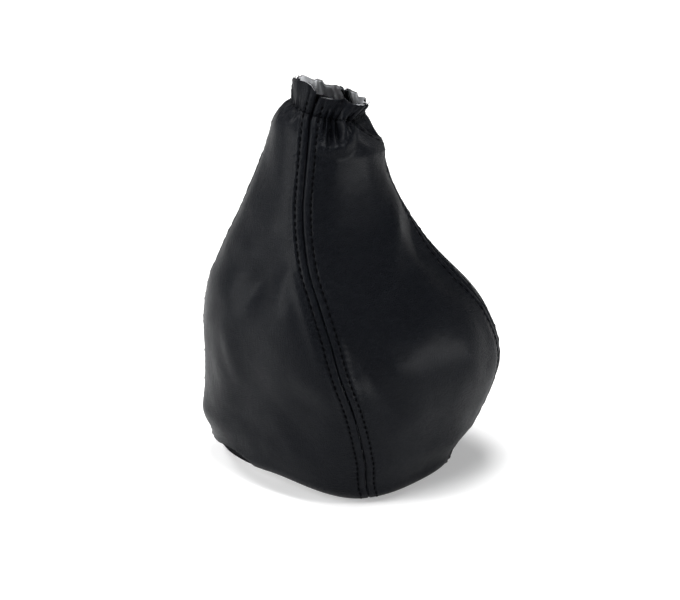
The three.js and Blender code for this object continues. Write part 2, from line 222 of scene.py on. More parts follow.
# Soft folds: the panel, the way each runs as share and run, its half width, how far it stands out, and how
# far from a seam's rows it fades
FOLDS = [
    # A ridge down the front panel beside the right seam, and the flat beyond it
    (0, [(0.86, 192), (0.73, 180), (0.60, 167), (0.53, 155), (0.45, 144)], 8.0, 2.2, 5.8),
    (0, [(0.90, 176), (0.82, 160), (0.74, 148)], 7.0, -0.9, 5.8),
    # The hollow beside the seam under the belly, and the belly above it
    (0, [(0.07, 130), (0.13, 108), (0.19, 85), (0.28, 62)], 10.0, -3.4, 5.8),
    (0, [(0.26, 130), (0.46, 112), (0.68, 100), (0.86, 94)], 28.0, 3.0, 5.8),
    # The long swell under the gathers that closes the pleats from below
    (0, [(0.76, 246), (0.70, 240), (0.61, 233), (0.42, 227), (0.22, 225), (0.02, 225)], 3.6, 3.8, 3.0),
    # The shoulder that covers the right seam, and the hollow behind it
    (0, [(0.86, 243), (0.89, 236), (0.91, 226), (0.91, 216)], 4.0, 3.0, 1.0),
    (1, [(0.12, 247), (0.09, 238), (0.08, 226)], 4.5, -3.2, 1.0),
    # A slanting hollow across the left panel, with a swell above it and one below it
    (3, [(0.92, 172), (0.72, 156), (0.56, 142), (0.38, 122)], 11.0, -2.4, 5.8),
    (3, [(0.74, 186), (0.52, 164), (0.36, 146)], 15.0, 1.0, 5.8),
    (3, [(0.92, 150), (0.74, 128), (0.58, 104)], 16.0, 1.0, 5.8),
    # A crease down the left side
    (3, [(0.38, 116), (0.41, 96), (0.45, 74)], 7.0, 0.8, 5.8),
    (3, [(0.31, 112), (0.34, 94), (0.38, 72)], 6.5, -0.6, 5.8),
    # A hollow low on the left panel
    (3, [(0.90, 96), (0.78, 70), (0.66, 50)], 16.0, -2.4, 5.8),
    # The sharp fold in the middle of the front frill
    (0, [(0.45, 249), (0.45, 264)], 1.5, 1.5, 3.0),
    (0, [(0.54, 247), (0.54, 263)], 1.8, -1.4, 3.0),
]

HEM_ARC = HEM_FOLD_RADIUS * math.pi / 2
NECK_RUN = HEM_WIDTH + HEM_ARC + NECK_HEIGHT - HEM_FOLD_RADIUS
TOP_RUN = NECK_RUN + FRILL_WIDTH
STITCH_START = HEM_WIDTH + HEM_FOLD_RADIUS * math.acos(1 - THREAD_LIFT / HEM_FOLD_RADIUS)
SMALL = 1e-3

# The seams whose allowances are cut back above the neck
TRIMMED_SEAMS = (2, 3)

# The columns and rows of a panel's sheet: along its allowance, round the fold, beside it and between
ALLOWANCE_PLACES = (7.0, 6.3, 5.7, 5.0, 4.2, 3.3, 2.3)
FOLD_STEPS = 9
BESIDE_FOLD_PLACES = (2.1, 2.9, 3.6, 4.2, 4.6, 5.0, 5.4, 5.8, 6.4)
MIDDLE_COLUMNS = 86
EDGE_ROWS = 4
HEM_ROWS = 9
ROW_SPACING = STITCH_PITCH / 5

# The stations along each stitch, and round the neck on each panel
STITCH_STATIONS = 11
NECK_STATIONS = 400

# The lamps: bearing and height in degrees, then distance, width and height in metres, and watts
LAMP_TARGET = (0.0, 0.0, 0.12)
LAMPS = {
    "window_left": (-122, 18, 1.5, 0.7, 0.9, 24.0),
    "window_right": (20, 1, 1.6, 1.4, 0.26, 23.0),
    "overhead": (-45, 86, 1.5, 0.6, 1.0, 28.0),
    "behind_left": (-162, 44, 1.6, 0.5, 0.5, 11.0),
}

# The surroundings: the dim room, and the pale floor that the camera sees as white
ROOM_COLOUR = (0.95, 0.975, 1.0, 1.0)
ROOM_STRENGTH = 0.09
FLOOR_COLOUR = (0.86, 0.86, 0.86, 1)
FLOOR_GLOW = 0.3
FLOOR_HALF_WIDTH = 9000.0


# Plain measures


def eased(t):
    t = np.clip(t, 0, 1)
    return t * t * (3 - 2 * t)


def mixed(low, high, share):
    return low + (high - low) * share


def bell(distance, width):
    return np.exp(-((distance / width) ** 2))


def turned_from(bearing, at):
    """How many degrees a bearing lies from another, the short way round."""
    return np.mod(bearing - at + 180, 360) - 180


def along(points, at):
    """The value at a place on the smooth curve through (place, value) points."""
    places, values = (np.array(column, float) for column in zip(*points))
    at = np.clip(at, places[0], places[-1])
    last = len(places) - 1
    i = np.clip(np.searchsorted(places, at, side="right") - 1, 0, last - 1)
    before, after = np.maximum(i - 1, 0), np.minimum(i + 2, last)
    span = places[i + 1] - places[i]
    slope_in = (values[i + 1] - values[before]) / (places[i + 1] - places[before]) * span
    slope_out = (values[after] - values[i]) / (places[after] - places[i]) * span
    t = (at - places[i]) / span
    level = mixed(values[i], values[i + 1], eased(t))
    return level + slope_in * t * (1 - t) ** 2 - slope_out * t * t * (1 - t)


def rumple(across, up, size, seed):
    """Soft irregular relief about 1 high, with lumps of the given size."""
    cells = 64
    heights = np.random.default_rng(seed).standard_normal((cells, cells))
    x, y = across / size, up / size
    column, row = np.floor(x).astype(int), np.floor(y).astype(int)
    fx, fy = x - column, y - row

    def weights(f):
        return [
            (1 - f) ** 3 / 6,
            (3 * f**3 - 6 * f**2 + 4) / 6,
            (-3 * f**3 + 3 * f**2 + 3 * f + 1) / 6,
            f**3 / 6,
        ]

    total = 0.0
    for i, wx in enumerate(weights(fx)):
        for j, wy in enumerate(weights(fy)):
            total = total + wx * wy * heights[(column + i) % cells, (row + j) % cells]
    return total * 1.8


# The form of the gaiter


def level_at(run):
    """The height of a place so far up the leather from the hem's raw edge, and how far it lies inside."""
    turn = np.clip((run - HEM_WIDTH) / HEM_FOLD_RADIUS, 0, math.pi / 2)
    above = np.clip(run - HEM_WIDTH - HEM_ARC, 0, NECK_HEIGHT - HEM_FOLD_RADIUS)
    height = HEM_FOLD_RADIUS * (1 - np.cos(turn)) + above
    inset = HEM_FOLD_RADIUS * (1 - np.sin(turn)) + np.maximum(HEM_WIDTH - run, 0)
    return height, inset


def frill_share(run):
    return np.clip((run - NECK_RUN) / FRILL_WIDTH, 0, 1)


def seam_bearing(index, run):
    seam = SEAMS[index % len(SEAMS)]
    at_neck = along(seam["bearing"], level_at(run)[0] / NECK_HEIGHT)
    return mixed(at_neck, seam["frill_top"], frill_share(run)) + 360 * (index // len(SEAMS))


def bearing_at(panel, share, run):
    return mixed(seam_bearing(panel, run), seam_bearing(panel + 1, run), share)


def arch_lift(bearing, height):
    turned = np.mod(bearing - ARCH_START, 360)
    rising = eased(turned / (ARCH_FULL - ARCH_START))
    lowering = eased((ARCH_END - ARCH_START - turned) / (ARCH_END - ARCH_LOWERING))
    return ARCH_RISE * rising * lowering * (1 - eased(height / ARCH_FADE_HEIGHT))


def smooth_form(panel, share, run):
    """A place on the form under the pleats. share goes from seam to seam across the panel."""
    share, run = np.broadcast_arrays(np.asarray(share, float), np.asarray(run, float))
    height, inset = level_at(run)
    up = height / NECK_HEIGHT
    bearing = bearing_at(panel, share, run)
    to_right, to_front = np.sin(np.radians(bearing)), np.cos(np.radians(bearing))
    shoulder = np.clip(1 - (NECK_HEIGHT - height) / SHOULDER_HEIGHT, 0, 1)
    gathered = shoulder ** (SHOULDER_ROUNDNESS - LEFT_SHOULDER_FULLER * to_right)
    flat = 1 - along(PANELS[panel]["flatness"], up) * (1 - np.cos(2 * np.pi * share))
    next_seam = SEAMS[(panel + 1) % len(SEAMS)]
    lean = np.radians(mixed(SEAMS[panel]["frill_lean"], next_seam["frill_lean"], eased(share)))
    frill = np.maximum(run - NECK_RUN, 0)

    def reach(body, neck):
        return mixed((body - inset) * flat, neck, gathered) + frill * np.sin(lean)

    right = along(BODY_TO_RIGHT, up) + reach(along(BODY_HALF_WIDTH, up), NECK_HALF_WIDTH) * to_right
    back = -reach(along(BODY_HALF_DEPTH, up), NECK_HALF_DEPTH) * to_front
    tilt = NECK_TILT * right * eased((height - TILT_START) / (NECK_HEIGHT - TILT_START))
    level = height + arch_lift(bearing, height) + frill * np.cos(lean) - tilt
    half = math.sqrt(0.5)
    return np.stack([(right + back) * half, (back - right) * half, level], -1) + ORIGIN


def directions(panel, share, run):
    across = smooth_form(panel, share + SMALL, run) - smooth_form(panel, share - SMALL, run)
    upward = smooth_form(panel, share, run + SMALL) - smooth_form(panel, share, run - SMALL)
    outward = np.cross(across, upward)
    across = across / (2 * SMALL)
    return across, outward / np.linalg.norm(outward, axis=-1, keepdims=True)


def unit_directions(panel, share, run):
    across, outward = directions(panel, share, run)
    return across / np.linalg.norm(across, axis=-1, keepdims=True), outward


def seam_width(panel, side, run):
    """How many millimetres a whole panel would measure at the scale it has along one of its seams."""
    return np.linalg.norm(directions(panel, np.full(np.shape(run), float(side)), run)[0], axis=-1)


def share_from(side, panel, run, distance):
    """The share at so many millimetres from one of a panel's two seams."""
    seam = SEAMS[(panel + side) % len(SEAMS)]
    opening = seam["frill_opening"] * eased((run - NECK_RUN - 5) / (FRILL_WIDTH - 5))
    share = (distance + opening) / seam_width(panel, side, run)
    return 1 - share if side else share


def seam_distances(panel, share, run):
    """How far a place lies from each of its panel's two seams, in millimetres."""
    return share * seam_width(panel, 0, run), (1 - share) * seam_width(panel, 1, run)


# The relief that sewing, gathering and handling give the leather


def straight_across(panel, share, run):
    """The share of a panel's width at the neck that lies straight above a place."""
    at_neck = np.full(np.shape(run), NECK_RUN)
    first, second = seam_bearing(panel, at_neck), seam_bearing(panel + 1, at_neck)
    return (bearing_at(panel, share, run) - first) / (second - first)


def between_seams(panel, share, run):
    """How far across the free width between the seams a place lies."""
    level = np.maximum(run, NECK_RUN)
    start = share_from(0, panel, level, SEAM_ALLOWANCE)
    end = share_from(1, panel, level, SEAM_ALLOWANCE)
    straight = straight_across(panel, share, np.minimum(run, NECK_RUN))
    return np.clip((straight - start) / (end - start), 0, 1)


def front_pleats(at_neck, above):
    """The front panel's own pleats and ridges, from the place at the neck straight above each point."""
    wide = seam_width(0, 0, np.full(np.shape(above), NECK_RUN))
    waved = np.zeros(np.shape(above))
    for place, half, depth, reach_down in FRONT_PLEATS:
        closing = eased((above + reach_down) / (0.7 * reach_down))
        across = bell((at_neck - place) * wide, half * (0.45 + 0.55 * closing))
        waved = waved - closing * depth * across
    return waved * (1 - PLEAT_OPENING * eased((above - 1) / 6)) * (1 + 0.8 * bell(above + 7, 4.5))


def even_pleats(panel, between, above):
    """The pleats of the other panels, side by side and a little uneven."""
    sheet = PANELS[panel]
    drift = 0.04 * rumple(between * 6 + 3, above * 0.02 + 9, 1.0, 31 + panel) * np.sin(np.pi * between)
    valley = (1 - np.cos(2 * np.pi * sheet["pleats"] * (between + drift))) / 2
    length = sheet["pleat_length"] * (1 + 0.25 * rumple(between * 7 + 1, 5.0, 1.0, 47 + panel))
    pleated = eased(1.35 * (above + length) / length) * (1 - PLEAT_OPENING * eased((above - 1) / 6))
    return -sheet["pleat_depth"] * pleated * valley**0.7


def gathers(panel, share, run):
    """The pleats under the elastic, the fine creases among them and the waves of the frill."""
    share, run = np.broadcast_arrays(np.asarray(share, float), np.asarray(run, float))
    between = between_seams(panel, share, run)
    sheet = PANELS[panel]
    above = run - NECK_RUN
    wave = (1 - np.cos(2 * np.pi * sheet["waves"] * between)) / 2
    frill = eased((above - ELASTIC_WIDTH / 2) / (FRILL_WIDTH - ELASTIC_WIDTH / 2))
    fine = rumple(between * sheet["pleats"] * 3.1, above * 0.05, 0.45, 71 + panel)
    fine = fine * 0.42 * eased((above + 13) / 13) * (1 - 0.85 * frill) * np.sin(np.pi * between) ** 0.5
    seams = eased((np.minimum(*seam_distances(panel, share, run)) - 4.5) / 3.5)
    if panel == 0:
        waved = front_pleats(straight_across(panel, share, np.minimum(run, NECK_RUN)), above)
    else:
        waved = even_pleats(panel, between, above)
    pinched = 0.7 * bell(above, 1.6) * (1 - np.clip(-waved / 2, 0, 1))
    return waved * np.where(above > 0, 1, seams) - sheet["wave_depth"] * frill * wave + fine - pinched


def way_of(fold):
    """Places along a fold, on the smooth form."""
    panel, points = fold[:2]
    steps = np.linspace(0, 1, len(points))
    part = np.linspace(0, 1, 25)
    shares = along(list(zip(steps, [share for share, _ in points])), part)
    runs = along(list(zip(steps, [run for _, run in points])), part)
    return smooth_form(panel, shares, runs)


FOLD_WAYS = [way_of(fold) for fold in FOLDS]


def folded(panel, places, apart_from_seam):
    """The soft folds of a panel, at places on its smooth form."""
    total = np.zeros(places.shape[:-1])
    for fold, way in zip(FOLDS, FOLD_WAYS):
        if fold[0] != panel:
            continue
        width, outward, clear = fold[2:]
        nearest = np.full(places.shape[:-1], np.inf)
        passed = np.zeros(places.shape[:-1])
        for step in range(len(way) - 1):
            length = way[step + 1] - way[step]
            part = np.clip(((places - way[step]) @ length) / (length @ length), 0, 1)
            apart = np.linalg.norm(places - way[step] - part[..., None] * length, axis=-1)
            closer = apart < nearest
            nearest = np.where(closer, apart, nearest)
            passed = np.where(closer, (step + part) / (len(way) - 1), passed)
        fading = 0.15 + 0.85 * eased(passed / 0.35) * eased((1 - passed) / 0.35)
        total = total + outward * fading * bell(nearest, width) * eased((apart_from_seam - clear) / 4)
    return total


def stitch_phase(run):
    """How far a place is from the nearest needle hole, in millimetres."""
    place = np.mod(run - STITCH_START, STITCH_PITCH)
    return np.minimum(place, STITCH_PITCH - place)


def sewn_relief(distance, run, seed, pucker):
    """The puffed band beside a seam, the channel that its stitches pull down, and the puckers beyond."""
    crown = 0.26 * np.sin(np.pi * np.clip((distance - 0.6) / 4.0, 0, 1))
    mouth = -(0.35 + 0.75 * eased((run - 205) / 30)) * bell(distance, 1.25)
    edge = 0.28 * (1 - eased((distance - 6.1) / 2.0))
    channel = -0.5 * bell(distance - STITCH_OFFSET, 0.8) * (1 - 0.8 * bell(stitch_phase(run), 0.5))
    holes = -0.5 * bell(distance - STITCH_OFFSET, 0.65) * bell(stitch_phase(run) - 0.75, 0.3)
    creases = 0.17 * rumple(distance * 0.45, run, 1.9, seed)
    creases = creases * (1 - eased((distance - 5.2) / 1.6)) * eased(distance / 1.6)
    slanted = run - STITCH_START + 0.35 * (distance - STITCH_OFFSET)
    ripple = np.cos(2 * np.pi * slanted / STITCH_PITCH + 1.1 * rumple(run, distance * 0.4, 7.0, seed + 1))
    ripple = ripple * np.clip(0.6 + 0.55 * rumple(run, distance * 0.5, 5.0, seed + 2), 0, 1.6)
    beyond = bell(distance - 6.9, 2.0) + 0.5 * bell(distance - 3.4, 1.0)
    return crown + mouth + edge + channel + holes + creases - pucker * ripple * beyond


def pucker_strength(panel, side, run):
    """How hard each row of stitches draws up the leather beside it, from place to place."""
    base = 0.10 + 0.06 * rumple(run, panel + side * 0.5, 22.0, 90 + 2 * panel + side)
    if panel == 0 and side == 0:
        base = base + 0.34 * bell(run - 165, 30) + 0.3 * bell(run - 224, 13)
    if panel == 3 and side == 1:
        base = base + 0.36 * bell(run - 128, 24) + 0.24 * bell(run - 222, 13)
    return np.clip(base, 0.04, 0.55)


def puffed_beside(panel, side, distance, run):
    """The leather that the tight seam pushes up just beyond its rows."""
    if (panel, side) == (3, 1):
        return 1.3 * bell(distance - 10, 4.0) * bell(run - 126, 24)
    if (panel, side) == (0, 0):
        return 0.9 * bell(distance - 8, 2.6) * bell(run - 170, 34)
    return np.zeros(np.shape(distance))


def under_edge(bearing, height):
    """The step back under the hem's edge at the left. Its deepest faces take a dull dark leather, painted
    shade that shows as a dark crescent.
    """
    turned = turned_from(bearing, STEP_BEARING)
    across = np.clip(1 - (turned / STEP_HALF_WIDTH) ** 2, 0, 1)
    return -STEP_DEPTH * eased((STEP_LOW + STEP_RISE * across - height) / 0.9) * np.minimum(across * 4, 1)


def relief(panel, share, run):
    """How far the leather lies outside the smooth form."""
    height, _ = level_at(run)
    bearing = bearing_at(panel, share, run)
    free = eased(height / (2 * HEM_FOLD_RADIUS))
    total = 0.0
    for at, up, across, tall, outward in SWELLS:
        spread = (turned_from(bearing, at) / across) ** 2 + ((height / NECK_HEIGHT - up) / tall) ** 2
        total = total + free * outward * np.exp(-spread)
    left, right = seam_distances(panel, share, run)
    total = total + folded(panel, smooth_form(panel, share, run), np.minimum(left, right))
    total = total + gathers(panel, share, run)
    total = total + puffed_beside(panel, 0, left, run) + puffed_beside(panel, 1, right, run)
    total = total + under_edge(bearing, height) * eased(height / 1.2)
    total = total + free * sewn_relief(left, run, 11 + panel, pucker_strength(panel, 0, run))
    total = total + free * sewn_relief(right, run, 21 + panel, pucker_strength(panel, 1, run))
    lowest = -2.5 - 6 * eased((np.abs(run - NECK_RUN) - 3.4) / 3)
    total = np.maximum(total, lowest)
    middle = eased((np.minimum(left, right) - SEAM_ALLOWANCE) / 12)
    calm = 1 - eased((run - NECK_RUN + 12) / 12)
    soft = 0.32 * rumple(left, run, 24.0, 3 + panel) + 0.11 * rumple(left, run, 8.0, 5 + panel)
    return total + free * middle * calm * soft + 0.02 * free * rumple(left, run, 2.6, 8 + panel)


def point_at(panel, share, run, depth):
    """A place so many millimetres under the leather's outer face."""
    _, outward = directions(panel, share, run)
    out = relief(panel, share, run) - depth
    return smooth_form(panel, share, run) + outward * out[..., None]


# Meshes


def add_mesh(name, points, quads, materials, slots=None, places=None):
    """An object from points in millimetres, its quads, and a UV place in millimetres for each point."""
    mesh = bpy.data.meshes.new(name)
    points = np.asarray(points, float).reshape(-1, 3)
    quads = np.asarray(quads, np.int64).reshape(-1, 4)
    mesh.vertices.add(len(points))
    mesh.vertices.foreach_set("co", (points * MM).astype(np.float32).ravel())
    mesh.loops.add(quads.size)
    mesh.loops.foreach_set("vertex_index", quads.astype(np.int32).ravel())
    mesh.polygons.add(len(quads))
    mesh.polygons.foreach_set("loop_start", np.arange(0, quads.size, 4, dtype=np.int32))
    for material in materials:
        mesh.materials.append(material)
    if slots is not None:
        mesh.polygons.foreach_set("material_index", np.asarray(slots, np.int32))
    if places is not None:
        layer = mesh.uv_layers.new(name="sheet")
        spots = np.asarray(places, float).reshape(-1, 2) * UV_PER_MM
        layer.data.foreach_set("uv", spots[quads.ravel()].astype(np.float32).ravel())
    mesh.polygons.foreach_set("use_smooth", np.ones(len(quads), bool))
    mesh.update(calc_edges=True)
    mesh.validate()
    piece = bpy.data.objects.new(name, mesh)
    bpy.context.scene.collection.objects.link(piece)
    return piece


def grid_quads(rows, columns, first=0, flipped=False, closed=False):
    """Quads over a grid of points numbered row by row."""
    row = np.arange(rows - 1)[:, None] * columns
    column = np.arange(columns if closed else columns - 1)[None, :]
    following = (column + 1) % columns
    corners = [row + column, row + following, row + columns + following, row + columns + column]
    quads = np.stack([np.broadcast_to(c, (rows - 1, column.shape[1])) for c in corners], -1).reshape(-1, 4)
    return (quads[:, ::-1] if flipped else quads) + first


def sheet_rows():
    hem = np.linspace(0, HEM_WIDTH, HEM_ROWS)[:-1]
    above = np.arange(HEM_WIDTH, TOP_RUN - 0.1, ROW_SPACING)
    return np.concatenate([hem, above, [TOP_RUN]])


def frill_height(panel, share):
    """The frill's own height round the neck, as a share of its full width."""
    bearing = bearing_at(panel, share, np.full(np.shape(share), TOP_RUN))
    uneven = 0.02 * rumple(bearing, 0.4, 11.0, 61)
    first = FRILL_HEIGHTS[0][0]
    return along(FRILL_HEIGHTS, np.mod(bearing - first, 360) + first) + uneven


def trimmed(index, distance, runs):
    """A seam allowance's place, cut back above the neck on the two rear seams."""
    if index % len(SEAMS) not in TRIMMED_SEAMS:
        return np.full(len(runs), distance)
    kept = 1 - 0.97 * eased((runs - NECK_RUN + 1) / 5)
    return SEAM_EDGE + (distance - SEAM_EDGE) * kept


def turned_edge():
    """The columns from a seam allowance's raw edge, round its fold and on to the face of the panel."""
    columns = []
    for distance in ALLOWANCE_PLACES:
        columns.append((distance, 2 * TURN_RADIUS, distance, 2 * TURN_RADIUS - LEATHER))
    for angle in np.linspace(math.pi, 0, FOLD_STEPS):
        sine, cosine = math.sin(angle), math.cos(angle)
        outer = (SEAM_EDGE - TURN_RADIUS * sine, TURN_RADIUS * (1 - cosine))
        inner = (SEAM_EDGE - TURN_GAP / 2 * sine, TURN_RADIUS - TURN_GAP / 2 * cosine)
        columns.append((*outer, *inner))
    for distance in BESIDE_FOLD_PLACES:
        columns.append((distance, 0.0, distance, LEATHER))
    return columns


def panel_sheet(panel, materials):
    """One leather panel, with its grained face, its knitted backing and its cut edges."""
    runs = sheet_rows()
    turned = turned_edge()
    layers = {}
    for layer, (at, under) in {"outer": (0, 1), "inner": (2, 3)}.items():
        left, right = [], []
        for number, column in enumerate(turned):
            places = [np.full(len(runs), column[at])] * 2
            if number < len(ALLOWANCE_PLACES):
                places = [trimmed(panel + side, column[at], runs) for side in (0, 1)]
            left.append(share_from(0, panel, runs, places[0]))
            right.insert(0, share_from(1, panel, runs, places[1]))
        start = share_from(0, panel, runs, SEAM_ALLOWANCE)
        end = share_from(1, panel, runs, SEAM_ALLOWANCE)
        place = np.linspace(0, 1, MIDDLE_COLUMNS)
        place = place - 0.055 * np.sin(2 * np.pi * place)
        face = [mixed(start, end, part) for part in place]
        depth = 0.0 if layer == "outer" else LEATHER
        depths = [c[under] for c in turned]
        depths = depths + [depth] * MIDDLE_COLUMNS + depths[::-1]
        share = np.stack(left + face + right, 1)
        run = np.repeat(runs[:, None], share.shape[1], 1)
        frill = np.maximum(run - NECK_RUN, 0)
        run = np.minimum(run, NECK_RUN) + frill * frill_height(panel, np.clip(share, 0, 1))
        layers[layer] = point_at(panel, share, run, np.array(depths)[None, :])
    outer, inner = layers["outer"], layers["inner"]
    rows, columns = outer.shape[:2]

    steps = np.linalg.norm(np.diff(outer, axis=1), axis=-1)
    across = np.concatenate([np.zeros((rows, 1)), np.cumsum(steps, axis=1)], axis=1)
    across = across - across[:, columns // 2][:, None]
    upward = np.repeat(runs[:, None], columns, 1)
    places = np.stack([across, upward], -1)

    rim = []
    rim += [(r, 0) for r in range(rows - 1, 0, -1)]
    rim += [(0, c) for c in range(columns - 1)]
    rim += [(r, columns - 1) for r in range(rows - 1)]
    rim += [(rows - 1, c) for c in range(columns - 1, 0, -1)]
    rim_rows, rim_columns = (np.array(part) for part in zip(*rim))
    count = len(rim)
    outside, inside = outer[rim_rows, rim_columns], inner[rim_rows, rim_columns]
    thickness = np.linspace(0, 1, EDGE_ROWS)
    edge_points = np.stack([mixed(outside, inside, part) for part in thickness], 0)
    lengths = np.concatenate([[0], np.cumsum(np.linalg.norm(np.diff(outside, axis=0), axis=1))])
    through = np.repeat(thickness[:, None], count, 1)
    edge_places = np.stack([np.broadcast_to(lengths, through.shape), through], -1)

    total = rows * columns
    face_quads = grid_quads(rows, columns)
    back_quads = grid_quads(rows, columns, first=total, flipped=True)
    edge_quads = grid_quads(EDGE_ROWS, count, first=2 * total, closed=True)
    quads = np.concatenate([face_quads, back_quads, edge_quads])
    points = np.concatenate([outer.reshape(-1, 3), inner.reshape(-1, 3), edge_points.reshape(-1, 3)])
    spots = np.concatenate([places.reshape(-1, 2), places.reshape(-1, 2), edge_places.reshape(-1, 2)])
    # Faces deep in the step under the foot's left edge take slot 3, a dull dark leather that is painted
    # shade
    step = under_edge(bearing_at(panel, share, run), level_at(run)[0]).ravel()
    painted_shade_faces = step[face_quads].mean(1) < STEP_PAINTED_SHADE
    slots = list(np.where(painted_shade_faces, 3, 0)) + [1] * len(back_quads) + [2] * len(edge_quads)
    name = PANELS[panel]["name"]
    piece = add_mesh(f"{name}_leather", points, quads, materials, slots, spots)
    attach(piece, BODY)
    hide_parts(f"{name}_panel")


# Threads


def stitch_tubes(centres, across, outward, radii, sides=8):
    """Closed tubes over stations: centres has one row of stations for each stitch."""
    stitches, stations = centres.shape[:2]
    angle = (np.arange(sides) + 0.5) * 2 * np.pi / sides
    ring = np.sin(angle)[:, None] * across[:, :, None] - np.cos(angle)[:, None] * outward[:, :, None]
    points = centres[:, :, None] + ring * radii[..., None, None]
    one = grid_quads(stations, sides, closed=True, flipped=True)
    last = (stations - 1) * sides
    caps = []
    for k in range(0, sides - 2, 2):
        caps.append((0, k + 1, k + 2, (k + 3) % sides))
        caps.append((last, last + (k + 3) % sides, last + k + 2, last + k + 1))
    one = np.concatenate([one, np.array(caps)])
    quads = one[None] + (np.arange(stitches) * stations * sides)[:, None, None]
    steps = np.linalg.norm(np.diff(centres, axis=1), axis=-1)
    length = np.concatenate([np.zeros((stitches, 1)), np.cumsum(steps, axis=1)], 1)
    length = length + np.arange(stitches)[:, None] * 1.37
    u = np.broadcast_to(np.arange(sides) / sides, (stitches, stations, sides))
    v = np.broadcast_to(length[:, :, None], (stitches, stations, sides))
    return points.reshape(-1, 3), quads.reshape(-1, 4), np.stack([u, v], -1).reshape(-1, 2)


def add_thread(name, node, centres, across, outward, radii, material):
    points, quads, places = stitch_tubes(centres, across, outward, radii)
    piece = add_mesh(name, points, quads, [material], None, places)
    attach(piece, BODY)
    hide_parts(node)


def sewn_row(panel, side, start, end, thickness, depth, inward, slant):
    """Single stitches along a seam: each rises from its needle hole, lies flat, and dives into the next."""
    count = int((end - start) / STITCH_PITCH)
    part = np.linspace(0, 1, STITCH_STATIONS)
    begins = start + np.arange(count) * STITCH_PITCH
    run = begins[:, None] + STITCH_PITCH * (0.14 + 0.72 * part)[None, :]
    dive = np.abs(2 * part - 1) ** 6
    lean = slant * (part - 0.5)
    uneven = 0.06 * np.random.default_rng(7 + panel * 2 + side).standard_normal(count)[:, None]
    distance = STITCH_OFFSET + lean[None, :] + uneven * (1 - dive)
    share = share_from(side, panel, run, distance)
    sign = 1 if inward else -1
    under = depth - sign * (0.75 * dive * thickness)[None, :] * np.ones_like(run)
    centres = point_at(panel, share, run, under)
    across, outward = unit_directions(panel, share, run)
    radii = thickness / 2 * (1 - 0.3 * dive)[None, :] * np.ones_like(run)
    return centres, across, outward, radii


def closing_row(panel, side):
    run = np.linspace(0, TOP_RUN, 320)[None, :]
    share = share_from(side, panel, run, SEAM_EDGE + CLOSING_THREAD)
    centres = point_at(panel, share, run, np.full_like(run, TURN_RADIUS))
    across, outward = unit_directions(panel, share, run)
    weave = 0.05 * np.sin(2 * np.pi * run / STITCH_PITCH)
    return centres + outward * weave[..., None], across, outward, np.full(run.shape, CLOSING_THREAD / 2)


def sew_seam(index, thread):
    """All the threads of one seam, on both of its panels."""
    name = SEAMS[index]["name"]
    before = (index + len(PANELS) - 1) % len(PANELS)
    on_top = 0.02 - TOPSTITCH_THREAD / 2
    underneath = 2 * TURN_RADIUS + BOBBIN_THREAD / 2
    top = TOP_RUN - 3.2
    trimmed_top = NECK_RUN + 3 if index in TRIMMED_SEAMS else top
    for panel, side in ((before, 1), (index, 0)):
        where = f"{PANELS[panel]['name']}_side"
        above = sewn_row(panel, side, STITCH_START, top, TOPSTITCH_THREAD, on_top, False, 0.3)
        below = sewn_row(panel, side, 1.0, trimmed_top, BOBBIN_THREAD, underneath, True, -0.2)
        for stitches, kind, row in (
            ("topstitches", "topstitch", above),
            ("bobbin_stitches", "bobbin", below),
            ("closing_stitches", "closing_thread", closing_row(panel, side)),
        ):
            add_thread(f"{name}_{stitches}_{where}", f"{name}_seam_{kind}_{where}", *row, thread)


def gather_neck(thread):
    """The stitches that hold the elastic, round the neck over pleats and seams."""
    shares, panels, line = [], [], []
    for panel in range(len(PANELS)):
        run = np.array([NECK_RUN])
        start, end = share_from(0, panel, run, 1.0)[0], share_from(1, panel, run, 1.0)[0]
        shares.append(np.linspace(start, end, NECK_STATIONS))
        panels.append(np.full(NECK_STATIONS, panel))
        line.append(point_at(panel, shares[-1], np.full(NECK_STATIONS, NECK_RUN), np.zeros(NECK_STATIONS)))
    route = np.concatenate(line)
    steps = np.linalg.norm(np.diff(route, axis=0), axis=1)
    length = np.concatenate([[0], np.cumsum(steps)])
    count = int(length[-1] / NECK_STITCH_PITCH)
    part = np.linspace(0, 1, STITCH_STATIONS)
    at = (np.arange(count)[:, None] + 0.06 + 0.88 * part[None, :]) * length[-1] / count
    where = np.interp(at, length, np.arange(len(route)))
    owner = np.concatenate(panels)[np.round(where).astype(int)]
    share = np.interp(where, np.arange(len(route)), np.concatenate(shares))
    dive = np.abs(2 * part - 1) ** 5
    run = NECK_RUN + 0.35 * (part - 0.5)[None, :] * np.ones_like(at)
    centres, across, outward = (np.zeros((*at.shape, 3)) for _ in range(3))
    for panel in range(len(PANELS)):
        mine = owner == panel
        nearest = np.minimum(*seam_distances(panel, share[mine], run[mine]))
        hop = TOPSTITCH_THREAD * bell(nearest - STITCH_OFFSET, 0.7)
        sunk = (0.75 * dive * NECK_THREAD)[None, :] * np.ones_like(at)
        depth = -(NECK_THREAD / 2 + hop - 0.05) + sunk[mine]
        centres[mine] = point_at(panel, share[mine], run[mine], depth)
        outward[mine] = directions(panel, share[mine], run[mine])[1]
        across[mine] = (0, 0, -1)
    radii = NECK_THREAD / 2 * (1 - 0.3 * dive)[None, :] * np.ones_like(at)
    row = centres, across, outward, radii
    add_thread("neck_gathering_stitches", "neck_gathering_thread", *row, thread)


